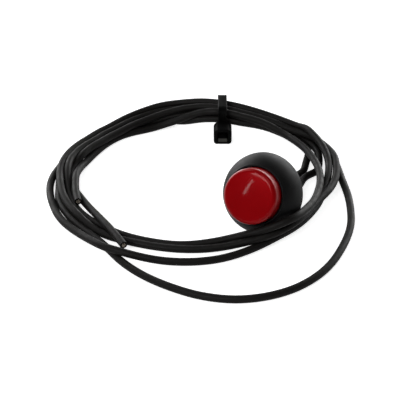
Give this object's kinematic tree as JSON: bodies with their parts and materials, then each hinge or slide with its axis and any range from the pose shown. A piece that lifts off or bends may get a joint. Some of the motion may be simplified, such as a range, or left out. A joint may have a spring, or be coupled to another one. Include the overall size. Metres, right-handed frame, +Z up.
{
  "type": "panel pushbutton switch",
  "caption": "Momentary panel pushbutton with a red cap in a black domed bezel, a threaded barrel with nut, and leads coiled in a cable tie.",
  "frame": {"origin": "on the table, under the middle of the switch as it lies on the rim of its dome and the rear edge of its barrel", "axes": "+Z up; +Y level, the way the switch's barrel points away from the button; +X to the right seen from the button"},
  "size_m": [0.0897, 0.0854, 0.0202],
  "materials": {
    "black_nylon": "moulded black nylon, satin gloss",
    "red_cap": "polished red ABS",
    "white_acetal": "turned acetal",
    "spring_steel": "drawn spring steel",
    "seal_rubber": "black nitrile rubber",
    "contact_brass": "stamped brass",
    "silver": "silver contact metal",
    "phenolic": "brown phenolic moulding",
    "solder": "dull tin solder",
    "potting_epoxy": "black potting epoxy",
    "nickel_steel": "nickel-plated steel",
    "lead_pvc": "black soft PVC, satin",
    "tinned_copper": "tinned copper strands",
    "tie_nylon": "black moulded nylon"
  },
  "bodies": {
    "housing": {"housing": "black_nylon", "return_spring": "spring_steel", "button_seal": "seal_rubber", "seal_washer": "black_nylon", "contact_spring": "spring_steel", "terminal_base": "phenolic", "terminal_a": "contact_brass", "terminal_b": "contact_brass", "fixed_tips": "silver", "solder_joints": "solder", "potting_plug": "potting_epoxy", "panel_gasket": "seal_rubber", "lock_washer": "nickel_steel", "hex_nut": "nickel_steel", "lead_a_tail": "lead_pvc", "lead_b_tail": "lead_pvc", "lead_coil": "lead_pvc", "lead_loop": "lead_pvc", "lead_a_end": "lead_pvc", "lead_b_end": "lead_pvc", "lead_a_core": "tinned_copper", "lead_b_core": "tinned_copper", "cable_tie": "tie_nylon"},
    "button": {"button_cap": "red_cap", "plunger": "white_acetal", "plunger_clip": "spring_steel"},
    "bridge": {"contact_bridge": "contact_brass", "bridge_tips": "silver"}
  },
  "joints": [
    {"name": "button_press", "type": "slide", "parent": "housing", "child": "button", "axis": [0, 0.9088, -0.4173], "range_m": [0, 0.0022], "stiffness_N_per_m": 600, "springref_m": -0.0025, "deforming": ["return_spring", "contact_spring"]},
    {"name": "bridge_slide", "type": "slide", "parent": "housing", "child": "bridge", "axis": [0, 0.9088, -0.4173], "range_m": [0, 0.00132]}
  ],
  "couplings": [
    {"joint": "bridge_slide", "follows": "button_press", "ratio": 0.6}
  ]
}
